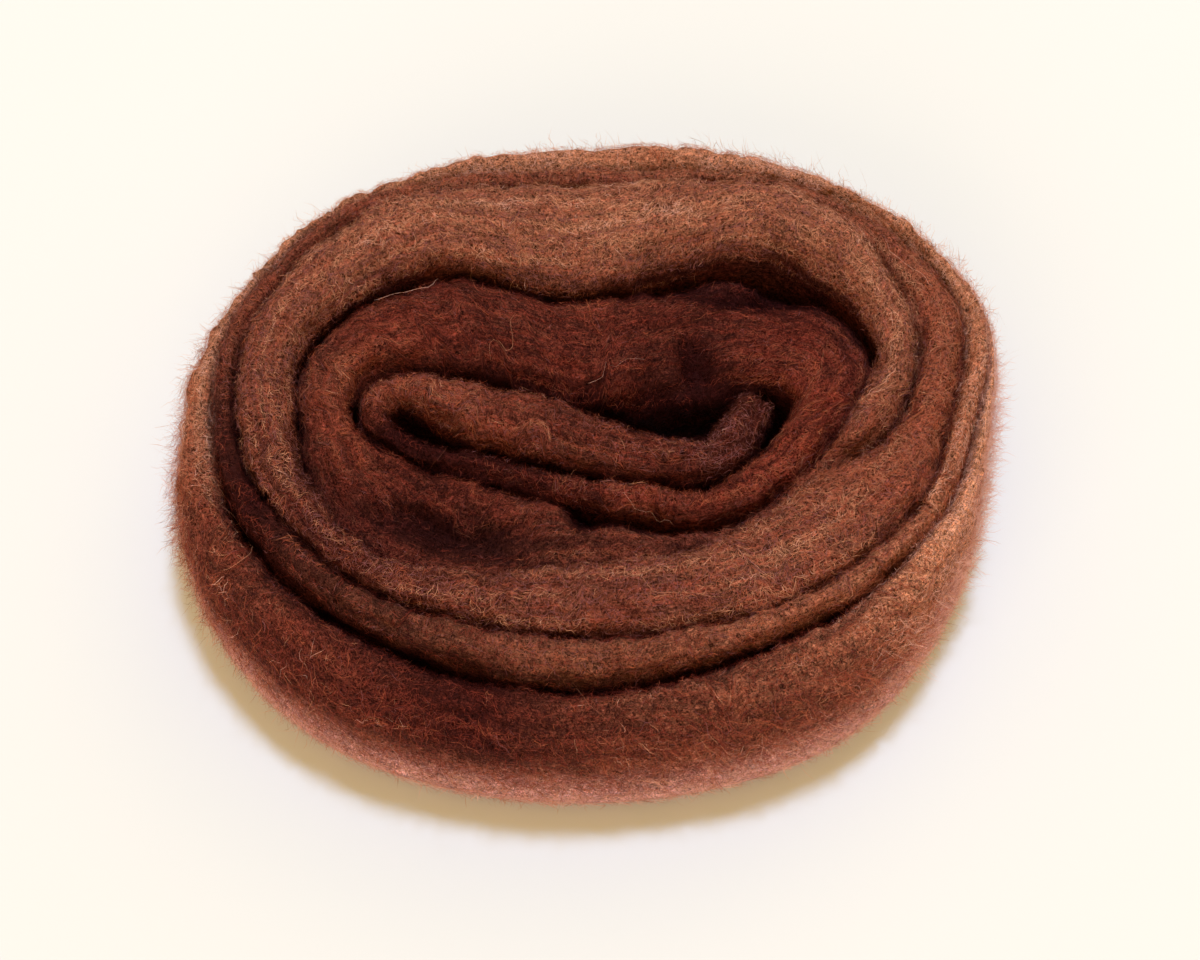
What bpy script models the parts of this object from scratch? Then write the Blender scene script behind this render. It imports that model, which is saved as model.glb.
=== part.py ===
"""Wool roving wound on edge into a flat oval cake: one soft strand, modelled as one solid.

The strand stands on its edge and winds counterclockwise, seen from above. It starts with a short
tail at the middle, runs left as the core, folds back in a hook, and then makes four turns that
press against each other. Each turn meets the next in a deep crease. The cake is wound about a
fold line on the X axis, so every place on it is a bearing round that line and a distance from it.
"""

import math
from dataclasses import astuple, dataclass

import bmesh
import bpy
import numpy as np

MM = 0.001

# Driving dimensions, in millimetres.
FOLD_HALF = 20.0  # half length of the fold line that the turns are wound about
AIR = 0.35  # air between turns that press against each other
FOOT_ROUND = 0.8  # how far a buried side draws in at the floor
WALL_BELLY = 10.5  # height at which the outside wall stands out furthest
WALL_ROUND = 5.5  # how far the outside wall draws in at the floor
CROWN_FULLNESS = 2.3  # 2 is a round crown, more is a flatter one
WALL_CREST_SHIFT = 0.12  # the outside turn's crown leans in by this share of its width
END_LIFT = 7.0  # the outside end thins out to a wisp that ends this far above the floor
LUMP_HEIGHT = 0.5  # slight lumps along the crowns
LUMPS_PER_TURN = (5.3, 11.7)

# Steps of the mesh.
BEARINGS = 12
STEPS_PER_BEARING = 5
STEPS_PER_CORE_ROW = 4
OPENING_BEARINGS = 1.8  # the outside turn comes free of the wisp at its end over this stretch
FULL_TURNS = 5
RISE_BEARING = 10.0  # where the lower limb rises into the band
END_BEARING = 61.6  # the outside end, in bearings wound from the start of the first turn


@dataclass(frozen=True)
class Bearing:
    """What lies on one bearing round the fold line, each 30 degrees on from the one before.

    crease is how far the outer crease of each turn is from the fold line, and crown how high the
    strand stands inside that crease. The turns are the core, band, ring, ridge and outside turn.
    """

    crease: tuple[float, float, float, float, float]
    crown: tuple[float, float, float, float, float]


RIM = (
    Bearing(crease=(7.0, 16.5, 24.3, 31.6, 34.8), crown=(22.0, 22.5, 27.0, 26.5, 26.0)),
    Bearing(crease=(12.8, 27.0, 32.8, 40.6, 44.4), crown=(22.0, 23.5, 28.5, 26.5, 25.5)),
    Bearing(crease=(6.5, 30.8, 41.6, 44.1, 48.9), crown=(22.0, 21.0, 29.5, 26.0, 25.5)),
    Bearing(crease=(4.2, 20.2, 37.3, 40.6, 48.1), crown=(22.0, 25.0, 30.0, 26.5, 26.0)),
    Bearing(crease=(8.8, 27.0, 39.0, 41.8, 46.3), crown=(22.0, 25.5, 29.5, 27.0, 25.0)),
    Bearing(crease=(15.0, 25.0, 33.0, 36.2, 40.6), crown=(22.0, 25.0, 29.0, 27.0, 24.0)),
    Bearing(crease=(12.4, 20.6, 28.7, 31.7, 38.6), crown=(22.0, 25.0, 28.5, 27.0, 24.0)),
    Bearing(crease=(9.6, 23.2, 30.2, 34.5, 43.5), crown=(22.0, 22.0, 28.0, 27.0, 24.0)),
    Bearing(crease=(8.6, 28.9, 34.2, 38.5, 50.0), crown=(22.0, 20.0, 28.0, 27.0, 23.5)),
    Bearing(crease=(11.9, 23.4, 35.0, 41.2, 51.2), crown=(22.0, 18.5, 28.5, 26.5, 23.5)),
    Bearing(crease=(16.6, 20.8, 34.4, 37.8, 49.4), crown=(22.0, 18.5, 28.0, 26.0, 24.0)),
    Bearing(crease=(15.0, 17.8, 32.0, 35.2, 41.0), crown=(22.0, 20.5, 27.0, 25.5, 24.5)),
)
# The inner side of the lower limb where it rises into the band, on the last two bearings.
FOLD_CREASE = (11.6, 7.6)
# The outside end runs on past the last full turn and thins out against it.
END_CREASE = (37.6, 45.6, 53.0)
END_CROWN = (24.5, 20.0, 16.0)
# The share of the band's and the ring's width, from the inner side, at which the crown stands,
# by bearing.
BAND_CREST = (0.5, 0.5, 0.5, 0.5, 0.5, 0.5, 0.5, 0.4, 0.3, 0.34, 0.46, 0.5)
RING_CREST = (0.5, 0.54, 0.62, 0.67, 0.62, 0.54, 0.5, 0.5, 0.5, 0.5, 0.5, 0.5)


@dataclass(frozen=True)
class Quarter:
    """How deep the crease outside each turn is at one quarter: right, far, left and near."""

    core: float
    band: float
    ring: float
    ridge: float
    outside: float


DEPTHS = (
    Quarter(core=6.0, band=6.5, ring=8.5, ridge=5.5, outside=3.0),
    Quarter(core=9.0, band=7.5, ring=6.0, ridge=6.0, outside=7.0),
    Quarter(core=6.5, band=4.5, ring=3.2, ridge=8.5, outside=7.0),
    Quarter(core=5.5, band=10.0, ring=3.0, ridge=9.0, outside=7.0),
)


@dataclass(frozen=True)
class CoreRow:
    """One place along the folded core: its middle, its width and its crown, in millimetres, and
    the share of the width, from the inner side, at which the crown stands."""

    x: float
    y: float
    width: float
    crown: float
    crest: float = 0.5


CORE = (
    CoreRow(x=24.4, y=5.2, width=4.6, crown=20.5),  # tip of the tail
    CoreRow(x=22.3, y=1.2, width=6.8, crown=22.0),  # tail
    CoreRow(x=18.3, y=-4.0, width=7.2, crown=22.5, crest=0.45),  # the tail bends into the core
    CoreRow(x=12.5, y=-4.8, width=8.0, crown=22.5, crest=0.42),  # core, right
    CoreRow(x=3.5, y=-2.8, width=8.8, crown=22.5, crest=0.4),  # core, middle
    CoreRow(x=-6.5, y=0.5, width=9.4, crown=23.0, crest=0.4),  # core, left
    CoreRow(x=-16.5, y=2.8, width=8.8, crown=24.0, crest=0.42),  # before the hook
    CoreRow(x=-25.8, y=5.8, width=4.8, crown=24.0, crest=0.45),  # hook, top
    CoreRow(x=-30.2, y=2.4, width=4.0, crown=23.0),  # hook, left
    CoreRow(x=-27.3, y=-1.6, width=3.2, crown=21.5),  # hook, bottom
    CoreRow(x=-21.5, y=-3.8, width=3.2, crown=20.0),  # lower limb, left
    CoreRow(x=-12.5, y=-5.8, width=3.8, crown=20.0),  # lower limb
    CoreRow(x=-2.5, y=-8.9, width=3.8, crown=20.5),  # lower limb, middle
    CoreRow(x=7.0, y=-10.9, width=4.8, crown=21.5),  # lower limb, right
)


@dataclass(frozen=True)
class Station:
    """One cross-section of the strand: its two sides in plan, its crown and the share of the
    width at which it stands, and the depth of the crease on each side. in_open is 0 where the
    next turn presses on its outer side and 1 where nothing does. lift is how far it clears the
    floor."""

    inner: np.ndarray
    outer: np.ndarray
    crown: float
    crest: float
    inner_depth: float
    outer_depth: float
    in_open: float = 0.0
    lift: float = 0.0


def smooth_between(before, start, end, after, share):
    """Reads a smooth curve through four even rows, between the middle two."""
    return 0.5 * (
        2 * start
        + (end - before) * share
        + (2 * before - 5 * start + 4 * end - after) * share**2
        + (3 * start - before - 3 * end + after) * share**3
    )


def along(rows, place):
    """Reads a smooth curve through the rows at a place counted in rows."""
    row = min(int(place), len(rows) - 2)
    last = len(rows) - 1
    return smooth_between(
        rows[max(row - 1, 0)], rows[row], rows[row + 1], rows[min(row + 2, last)], place - row
    )


def unrolled(rows, names):
    """Lays the columns of a table out along the strand, turn after turn."""
    return tuple(names(row)[turn] for turn in range(FULL_TURNS) for row in rows)


CREASES = unrolled(RIM, lambda bearing: bearing.crease) + END_CREASE
CROWNS = unrolled(RIM, lambda bearing: bearing.crown) + END_CROWN
CRESTS = (0.5,) * BEARINGS + BAND_CREST + RING_CREST + (0.5,) * (2 * BEARINGS + len(END_CROWN))
CREASE_DEPTHS = unrolled(DEPTHS, astuple) + (DEPTHS[0].outside, DEPTHS[0].outside)


def crease_depth(wound):
    """The depth of the crease outside the strand at a winding counted in bearings."""
    return along(CREASE_DEPTHS, wound * len(DEPTHS) / BEARINGS)


def rim_point(bearing, distance):
    """The plan point at a distance from the fold line, on a bearing counted from its right end."""
    angle = 2 * math.pi * bearing / BEARINGS
    return np.array([(FOLD_HALF + distance) * math.cos(angle), distance * math.sin(angle)])


def turn_station(wound):
    """The section of the strand at a winding counted in bearings, from the lower limb on."""
    inner = along(FOLD_CREASE + CREASES, wound - BEARINGS + len(FOLD_CREASE)) + AIR / 2
    outer = along(CREASES, wound) - AIR / 2
    lumps = sum(math.sin(2 * math.pi * count * wound / BEARINGS) for count in LUMPS_PER_TURN)
    opened = min(max((wound - (FULL_TURNS - 1) * BEARINGS) / OPENING_BEARINGS, 0.0), 1.0)
    in_open = opened * opened * (3 - 2 * opened)
    ending = max(wound - FULL_TURNS * BEARINGS, 0.0) / (END_BEARING - FULL_TURNS * BEARINGS)
    return Station(
        inner=rim_point(wound, inner),
        outer=rim_point(wound, max(outer, inner + AIR)),
        crown=along(CROWNS, wound) + LUMP_HEIGHT * lumps / len(LUMPS_PER_TURN),
        crest=along(CRESTS, wound) - WALL_CREST_SHIFT * in_open,
        inner_depth=crease_depth(max(wound - BEARINGS, 0.0)),
        outer_depth=crease_depth(wound),
        in_open=in_open,
        lift=END_LIFT * ending * ending,
    )


def core_stations():
    """The sections of the tail, the core, the hook and the lower limb, up to where it rises."""
    rows = [np.array(astuple(row)) for row in CORE]
    for wound in (RISE_BEARING, RISE_BEARING + 1):
        join = turn_station(wound)
        middle = (join.inner + join.outer) / 2
        width = np.linalg.norm(join.outer - join.inner)
        rows.append(np.array([*middle, width, join.crown, join.crest]))
    stations = []
    for step in range((len(rows) - 2) * STEPS_PER_CORE_ROW):
        place = step / STEPS_PER_CORE_ROW
        x, y, width, crown, crest = along(rows, place)
        heading = along(rows, place + 0.01)[:2] - np.array([x, y])
        heading /= np.linalg.norm(heading)
        side = np.array([heading[1], -heading[0]]) * width / 2
        stations.append(
            Station(
                inner=np.array([x, y]) - side,
                outer=np.array([x, y]) + side,
                crown=crown,
                crest=crest,
                inner_depth=DEPTHS[0].core,
                outer_depth=DEPTHS[0].core,
            )
        )
    return stations


def turn_stations():
    """The sections of the four turns, from the rise of the lower limb to the outside end."""
    steps = round((END_BEARING - RISE_BEARING) * STEPS_PER_BEARING)
    return [turn_station(RISE_BEARING + step / STEPS_PER_BEARING) for step in range(steps + 1)]


def quarter(start, end, bulge, steps):
    """Points on a full quarter curve between two section points, without its start. The curve
    leaves the end that is named by bulge upright: "start" or "end"."""
    points = []
    for step in range(1, steps + 1):
        angle = step / steps * math.pi / 2
        rise = math.sin(angle) ** (2 / CROWN_FULLNESS)
        reach = 1 - math.cos(angle) ** (2 / CROWN_FULLNESS)
        if bulge == "end":
            rise, reach = reach, rise
        points.append(
            (start[0] + (end[0] - start[0]) * reach, start[1] + (end[1] - start[1]) * rise)
        )
    return points


def section(station):
    """The closed outline of one cross-section, from its inner foot over the crown and down."""
    width = float(np.linalg.norm(station.outer - station.inner))
    outward = (station.outer - station.inner) / width
    foot = min(FOOT_ROUND, width / 4)
    wall_foot = min(FOOT_ROUND + (WALL_ROUND - FOOT_ROUND) * station.in_open, width / 2)
    inner_shoulder = station.crown - min(station.inner_depth, width)
    outer_shoulder = station.crown - min(station.outer_depth, width)
    belly = outer_shoulder + (WALL_BELLY - outer_shoulder) * station.in_open
    middle = width * station.crest
    floor = station.lift
    outline = [(foot, floor)]
    outline += quarter((foot, floor), (0.0, inner_shoulder), "end", 1)
    outline += quarter((0.0, inner_shoulder), (middle, station.crown), "start", 3)
    outline += quarter((middle, station.crown), (width, belly), "end", 4)
    outline += quarter((width, belly), (width - wall_foot, floor), "start", 3)
    return [
        (*((station.inner + outward * reach) * MM), height * MM) for reach, height in outline
    ]


def wind(stations):
    """Pushes the first cross-section along all the others into one closed strand."""
    strand = bmesh.new()
    face = strand.faces.new([strand.verts.new(point) for point in section(stations[0])])
    for station in stations[1:]:
        behind = face
        pushed = bmesh.ops.extrude_face_region(strand, geom=[behind])["geom"]
        face = next(item for item in pushed if isinstance(item, bmesh.types.BMFace))
        if behind.is_valid and station is not stations[1]:
            bmesh.ops.delete(strand, geom=[behind], context="FACES_ONLY")
        for corner, point in zip(face.verts, section(station), strict=True):
            corner.co = point
    bmesh.ops.recalc_face_normals(strand, faces=strand.faces)
    return strand


def centre(strand):
    """Moves the strand sideways until the middle of its plan is at the origin."""
    plan = np.array([vert.co[:2] for vert in strand.verts])
    middle = (plan.min(axis=0) + plan.max(axis=0)) / 2
    bmesh.ops.translate(strand, vec=(-middle[0], -middle[1], 0.0), verts=strand.verts)


def wool():
    """Heathered chestnut wool, dull all over."""
    material = bpy.data.materials.new("heathered_wool")
    material.use_nodes = True
    shader = material.node_tree.nodes["Principled BSDF"]
    shader.inputs["Base Color"].default_value = (0.13, 0.045, 0.03, 1.0)
    shader.inputs["Roughness"].default_value = 0.95
    shader.inputs["Metallic"].default_value = 0.0
    return material


def build():
    """Makes the cake as one object."""
    for old in list(bpy.data.objects):
        bpy.data.objects.remove(old, do_unlink=True)
    strand = wind(core_stations() + turn_stations())
    centre(strand)
    mesh = bpy.data.meshes.new("roving_coil")
    strand.to_mesh(mesh)
    strand.free()
    mesh.materials.append(wool())
    mesh.shade_smooth()
    mesh.set_sharp_from_angle(angle=math.radians(50))
    coil = bpy.data.objects.new("roving_coil", mesh)
    bpy.context.scene.collection.objects.link(coil)
    return coil


build()
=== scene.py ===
"""Looks of a chestnut wool roving that is wound on edge into a flat oval cake.

The cake is one soft strand. Its wound body is a closed swept skin with lengthwise folds. Single
wool fibres lie over that skin, stand off it as fuzz and stray from it.
"""

import logging
import math
from dataclasses import astuple, dataclass, field
from enum import Enum
from typing import Callable, Sequence

import bmesh
import bpy
import numpy as np
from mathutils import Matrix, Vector

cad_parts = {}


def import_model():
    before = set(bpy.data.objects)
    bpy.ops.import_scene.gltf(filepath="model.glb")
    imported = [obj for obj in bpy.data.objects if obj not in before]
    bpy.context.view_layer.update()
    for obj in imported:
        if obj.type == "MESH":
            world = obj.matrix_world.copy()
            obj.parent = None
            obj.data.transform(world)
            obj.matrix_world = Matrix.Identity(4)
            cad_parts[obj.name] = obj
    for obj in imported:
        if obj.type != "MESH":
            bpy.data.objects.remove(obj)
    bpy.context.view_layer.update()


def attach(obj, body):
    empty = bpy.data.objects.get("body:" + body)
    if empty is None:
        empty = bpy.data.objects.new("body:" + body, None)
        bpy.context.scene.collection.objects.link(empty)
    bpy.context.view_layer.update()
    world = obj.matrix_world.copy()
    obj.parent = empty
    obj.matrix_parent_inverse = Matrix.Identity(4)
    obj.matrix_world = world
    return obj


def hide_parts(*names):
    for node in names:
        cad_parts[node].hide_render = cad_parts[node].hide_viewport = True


LOG = logging.getLogger("roving")
MM = 0.001
TAU = 2 * math.pi
TINY = 1e-12
WELD = 1e-7
# These keep a place just inside the grid, and a rank just inside the last shade.
LAST_GAP = 1.001
BELOW_ONE = 0.9999
CAD_NODE = "roving_coil"
STRAND_MAP = "Strand"
BAKE_MAP = "OFBake"

Pair = tuple[float, float]
Triple = tuple[float, float, float]
Feed = bpy.types.NodeSocket | tuple[float, ...] | float


def opaque(colour: Triple) -> tuple[float, ...]:
    """A colour with its full cover added."""
    return (*colour, 1.0)


def add_object(name: str, data: bpy.types.ID) -> bpy.types.Object:
    """Puts new data into the scene.

    Args:
        name: The object's name.
        data: Its mesh, lamp or camera.

    Returns:
        The new object.
    """
    made = bpy.data.objects.new(name, data)
    bpy.context.scene.collection.objects.link(made)
    return made


@dataclass(frozen=True)
class PlainFinish:
    """A finish of one plain colour."""

    name: str
    colour: Triple
    roughness: float
    specular: float

    def material(self) -> bpy.types.Material:
        """Makes the material, or finds the one that is already made.

        Returns:
            The material.
        """
        known = bpy.data.materials.get(self.name)
        if known:
            return known
        made = bpy.data.materials.new(self.name)
        made.use_nodes = True
        shader = made.node_tree.nodes["Principled BSDF"]
        shader.inputs["Base Color"].default_value = opaque(self.colour)
        shader.inputs["Roughness"].default_value = self.roughness
        shader.inputs["Specular IOR Level"].default_value = self.specular
        return made


class Shade(Enum):
    """The dyed fibre colours that are carded together, as linear red, green and blue."""

    SLOE = (0.036, 0.0062, 0.0065)
    OXBLOOD = (0.200, 0.032, 0.022)
    UMBER = (0.150, 0.044, 0.031)
    PLUM = (0.235, 0.082, 0.095)
    CHESTNUT = (0.300, 0.075, 0.046)
    RUST = (0.430, 0.105, 0.054)
    COCOA = (0.350, 0.135, 0.088)
    TAN = (0.580, 0.260, 0.170)
    ROSE = (0.660, 0.345, 0.300)

    def finish(self) -> PlainFinish:
        """The finish of single fibres of this colour."""
        return PlainFinish(f"fibre_{self.name.lower()}", self.value, roughness=0.6, specular=0.06)


class Tone(Enum):
    """What the skin's points carry for its material, each a share from 0 to 1."""

    REDNESS = "redness"
    # Painted shade: how far the skin darkens to sloe in creases, in dents and on shaded sides.
    DUSK = "dusk"
    # Painted rim and bounce glow, partly lighter dye: how far the skin turns pale.
    PALENESS = "paleness"
    # The pink tint of the painted bounce glow low on the outer wall.
    PINKNESS = "pinkness"


@dataclass(frozen=True)
class Wiring:
    """Adds nodes to a node tree and links them."""

    tree: bpy.types.NodeTree

    def feed(self, node: bpy.types.Node, inputs: dict[str | int, Feed]) -> None:
        """Links or sets some of a node's inputs.

        Args:
            node: The node.
            inputs: The socket to link or the constant to set, by the input's name or number.
        """
        for key, value in inputs.items():
            if isinstance(value, bpy.types.NodeSocket):
                self.tree.links.new(value, node.inputs[key])
            else:
                node.inputs[key].default_value = value

    def tone(self, tone: Tone) -> bpy.types.NodeSocket:
        """Reads what the skin's points carry.

        Args:
            tone: Which of the tones.

        Returns:
            The socket that gives it.
        """
        node = self.tree.nodes.new("ShaderNodeAttribute")
        node.attribute_name = tone.value
        return node.outputs["Fac"]

    def maths(
        self, operation: str, first: Feed, second: Feed, clamp: bool = False
    ) -> bpy.types.NodeSocket:
        """Adds or multiplies two values.

        Args:
            operation: What to do with them.
            first: The one value.
            second: The other value.
            clamp: True to keep the result between 0 and 1.

        Returns:
            The socket that gives the result.
        """
        node = self.tree.nodes.new("ShaderNodeMath")
        node.operation = operation
        node.use_clamp = clamp
        self.feed(node, {0: first, 1: second})
        return node.outputs["Value"]

    def mix(self, share: Feed, low: Feed, high: Feed, way: str = "MIX") -> bpy.types.NodeSocket:
        """Mixes two colours.

        Args:
            share: How much of the second colour there is, from 0 to 1.
            low: The first colour.
            high: The second colour.
            way: How they are mixed.

        Returns:
            The socket that gives the colour.
        """
        node = self.tree.nodes.new("ShaderNodeMix")
        node.data_type = "RGBA"
        node.blend_type = way
        self.feed(node, {"Factor": share, "A": low, "B": high})
        return node.outputs["Result"]

    def ramp(self, value: Feed, stops: Sequence[tuple[float, Triple]]) -> bpy.types.NodeSocket:
        """Turns a value into a colour.

        Args:
            value: The value.
            stops: Two or more places with the colours there, in order.

        Returns:
            The socket that gives the colour.
        """
        node = self.tree.nodes.new("ShaderNodeValToRGB")
        elements = node.color_ramp.elements
        while len(elements) < len(stops):
            elements.new(0.5)
        for element, (position, colour) in zip(elements, stops):
            element.position = position
            element.color = opaque(colour)
        self.feed(node, {"Fac": value})
        return node.outputs["Color"]

    def spread(self, noise: Feed, ends: Pair, middle: Pair = (0.36, 0.66)) -> bpy.types.NodeSocket:
        """Stretches a noise's middle values to a range.

        Args:
            noise: The noise.
            ends: The values that its low and its high places get.
            middle: The part of the noise that counts as low to high.

        Returns:
            The socket that gives the value.
        """
        node = self.tree.nodes.new("ShaderNodeMapRange")
        inputs = {"Value": noise, "From Min": middle[0], "From Max": middle[1]}
        self.feed(node, inputs | {"To Min": ends[0], "To Max": ends[1]})
        return node.outputs["Result"]


@dataclass(frozen=True)
class Curls:
    """A curly noise that is the same all ways round, as felt is; its size is in metres."""

    size: float
    detail: float
    roughness: float = 0.65
    distortion: float = 1.2

    def add_to(self, wiring: Wiring) -> bpy.types.NodeSocket:
        """Adds the noise to a material.

        Args:
            wiring: The material's nodes.

        Returns:
            The socket that gives the noise.
        """
        place = wiring.tree.nodes.new("ShaderNodeTexCoord")
        noise = wiring.tree.nodes.new("ShaderNodeTexNoise")
        inputs = {
            "Vector": place.outputs["Object"],
            "Scale": 1 / self.size,
            "Detail": self.detail,
            "Roughness": self.roughness,
            "Distortion": self.distortion,
        }
        wiring.feed(noise, inputs)
        return noise.outputs["Fac"]


@dataclass(frozen=True)
class Streaks:
    """A noise that is drawn out along the strand; its length and width are in metres."""

    length: float
    width: float
    detail: float
    roughness: float = 0.6

    def add_to(self, wiring: Wiring) -> bpy.types.NodeSocket:
        """Adds the noise to a material.

        Args:
            wiring: The material's nodes.

        Returns:
            The socket that gives the noise.
        """
        place = wiring.tree.nodes.new("ShaderNodeUVMap")
        place.uv_map = STRAND_MAP
        drawn = wiring.tree.nodes.new("ShaderNodeMapping")
        scale = (1 / self.length, 1 / self.width, 1.0)
        wiring.feed(drawn, {"Vector": place.outputs["UV"], "Scale": scale})
        noise = wiring.tree.nodes.new("ShaderNodeTexNoise")
        inputs = {
            "Vector": drawn.outputs["Vector"],
            "Scale": 1.0,
            "Detail": self.detail,
            "Roughness": self.roughness,
        }
        wiring.feed(noise, inputs)
        return noise.outputs["Fac"]


@dataclass(frozen=True)
class WoolFinish:
    """The finish of the wound body: heathered streaks that follow the strand, with felt in them.

    Each depth is what the low and the high places of its noise multiply the colour by, and
    patch_red is what those of the patches add to the redness. The skin's streaks and the grain's
    darkest spots are darker than the fibres over them, partly as dye and partly as painted shade in
    the gaps between fibres. The skin also darkens with painted shade and pales with painted rim and
    bounce glow, by its tones.
    """

    streaks: Streaks = Streaks(length=0.012, width=0.0011, detail=4.0)
    threads: Streaks = Streaks(length=0.006, width=0.0005, detail=2.0)
    grain: Curls = Curls(size=0.00042, detail=3.0)
    tangle: Curls = Curls(size=0.0013, detail=1.5)
    patches: Curls = Curls(size=0.008, detail=1.0)
    grain_depth: Pair = (0.1, 1.55)
    tangle_depth: Pair = (0.6, 1.35)
    thread_depth: Pair = (0.72, 1.3)
    patch_red: Pair = (-0.3, 0.3)
    # The skin's dark shades, partly dye and partly painted shade in the gaps between the fibres.
    streak_shades: tuple[tuple[float, Shade], ...] = (
        (0.32, Shade.SLOE),
        (0.48, Shade.UMBER),
        (0.62, Shade.OXBLOOD),
        (0.78, Shade.CHESTNUT),
    )
    # The colour of painted rim and bounce glow, partly lighter dye, and its pink tint low on the
    # wall.
    painted_glow_and_pale_dye: Triple = (0.63, 0.27, 0.17)
    pink: Triple = (0.75, 0.42, 0.46)
    roughness: float = 0.9
    specular: float = 0.02
    bump: float = 0.9
    bump_height: float = 0.0004

    def material(self) -> bpy.types.Material:
        """Makes the material, which reads the strand's own map and its tones.

        Returns:
            The new material.
        """
        made = bpy.data.materials.new("wound_wool")
        made.use_nodes = True
        wiring = Wiring(made.node_tree)
        stops = [(place, shade.value) for place, shade in self.streak_shades]
        streaked = wiring.ramp(self.streaks.add_to(wiring), stops)
        patchy = wiring.spread(self.patches.add_to(wiring), self.patch_red)
        redness = wiring.maths("ADD", wiring.tone(Tone.REDNESS), patchy, clamp=True)
        reddened = wiring.mix(redness, streaked, opaque(Shade.OXBLOOD.value))
        # Painted shade: the skin darkens to sloe where it is in shade.
        with_painted_shade = wiring.mix(wiring.tone(Tone.DUSK), reddened, opaque(Shade.SLOE.value))
        # Painted rim and bounce glow, partly lighter dye, pink low on the wall.
        pale = wiring.mix(wiring.tone(Tone.PINKNESS), opaque(self.painted_glow_and_pale_dye), opaque(self.pink))
        # The colour now holds dye, painted shade and painted glow.
        dyed = wiring.mix(wiring.tone(Tone.PALENESS), with_painted_shade, pale)
        grain = self.grain.add_to(wiring)
        tangle = wiring.spread(self.tangle.add_to(wiring), self.tangle_depth)
        threads = wiring.spread(self.threads.add_to(wiring), self.thread_depth)
        felt = wiring.maths("MULTIPLY", wiring.spread(grain, self.grain_depth), tangle)
        combed = wiring.maths("MULTIPLY", felt, threads)
        bump = wiring.tree.nodes.new("ShaderNodeBump")
        relief = {"Strength": self.bump, "Distance": self.bump_height, "Height": grain}
        wiring.feed(bump, relief)
        looks = {
            "Base Color": wiring.mix(1.0, dyed, combed, "MULTIPLY"),
            "Roughness": self.roughness,
            "Specular IOR Level": self.specular,
            "Normal": bump.outputs["Normal"],
        }
        wiring.feed(wiring.tree.nodes["Principled BSDF"], looks)
        return made


EVEN_CREST = 0.5


@dataclass(frozen=True)
class Bearing:
    """What lies on one bearing round the fold line, each 30 degrees on from the one before.

    crease is how far the outer crease of each turn is from the fold line, and crown how high the
    strand stands inside that crease, in millimetres. The turns are the core, band, ring, ridge
    and outside turn.
    """

    crease: tuple[float, ...]
    crown: tuple[float, ...]


@dataclass(frozen=True)
class Quarter:
    """How deep the crease outside each turn is at one quarter, in millimetres."""

    core: float
    band: float
    ring: float
    ridge: float
    outside: float


@dataclass(frozen=True)
class CoreRow:
    """One place along the folded core, in millimetres; crest is the crown's share of the width."""

    x: float
    y: float
    width: float
    crown: float
    crest: float = EVEN_CREST


@dataclass(frozen=True)
class Dent:
    """A place where the wool is pushed down, or up if its depth is negative.

    Lengths are in millimetres, and turn is in degrees.
    """

    x: float
    y: float
    length: float
    width: float
    turn: float
    depth: float


@dataclass(frozen=True)
class Slope:
    """A change from 0 to 1 that begins at start and takes length."""

    start: float
    length: float

    def share(self, values: np.ndarray) -> np.ndarray:
        """How far along the slope each value is, from 0 to 1."""
        return np.clip((values - self.start) / self.length, 0.0, 1.0)


@dataclass(frozen=True)
class Blend:
    """How much of each shade is carded into one stretch of the strand, in the order of Shade."""

    sloe: float = 0.0
    oxblood: float = 0.0
    umber: float = 0.0
    plum: float = 0.0
    chestnut: float = 0.0
    rust: float = 0.0
    cocoa: float = 0.0
    tan: float = 0.0
    rose: float = 0.0

    def bounds(self) -> np.ndarray:
        """Where each shade ends between 0 and 1."""
        amounts = np.array(astuple(self))
        return np.cumsum(amounts / amounts.sum())


TAIL_BLEND = Blend(sloe=0.24, umber=0.1, plum=0.4, chestnut=0.12, cocoa=0.1, rose=0.04)
CORE_BLEND = Blend(
    sloe=0.22, oxblood=0.16, umber=0.16, plum=0.14, chestnut=0.17, rust=0.05, cocoa=0.08, tan=0.02
)
BAND_BLEND = Blend(
    sloe=0.27, oxblood=0.3, umber=0.12, plum=0.03, chestnut=0.16, rust=0.08, cocoa=0.03, tan=0.01
)
RING_BLEND = Blend(
    sloe=0.07, umber=0.13, plum=0.2, chestnut=0.11, rust=0.06, cocoa=0.27, tan=0.13, rose=0.03
)
RIDGE_BLEND = Blend(
    sloe=0.1, oxblood=0.14, umber=0.18, plum=0.1, chestnut=0.24, rust=0.1, cocoa=0.12, tan=0.02
)
# The outside turn's tan and rose fibres are picked low on the wall, as painted bounce glow.
OUTSIDE_BLEND = Blend(
    sloe=0.12,
    oxblood=0.32,
    umber=0.06,
    plum=0.03,
    chestnut=0.2,
    rust=0.14,
    cocoa=0.03,
    tan=0.03,
    rose=0.07,
)
# Pale blends for the rims, mostly painted rim light and partly dye; the second is also the stray
# hairs' own pale colour.
PAINTED_RIM_LIGHT_BLEND = Blend(umber=0.05, chestnut=0.12, rust=0.28, cocoa=0.15, tan=0.32, rose=0.08)
PALE_HAIR_AND_RIM_LIGHT_BLEND = Blend(umber=0.04, chestnut=0.08, rust=0.14, cocoa=0.18, tan=0.3, rose=0.26)


@dataclass(frozen=True)
class Stretch:
    """The colours of a stretch of the strand, which starts at a winding counted in bearings.

    The blend holds as far as the next stretch. Of the three numbers after it, the first is how much
    lighter the fibres are than the blend, or darker below 0, partly dye and partly painted light
    and shade; the second how red the wool under them is, a dye; and the third how pale it is,
    partly lighter dye and partly painted rim and bounce glow. These three are what they are at the
    start, and change evenly from there to the next stretch.
    """

    start: float
    blend: Blend
    dye_and_painted_lightness: float
    red: float
    painted_glow_and_pale_dye: float = 0.0


# The lightness of the stretches is partly painted light and shade: mostly lighter on the far sides
# and at the rims, which the lamps light from behind, and darker on the near sides and where other
# turns shade the strand, as at the lower limb. Their pale share on the outside turn is painted rim
# and bounce glow.
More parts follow.
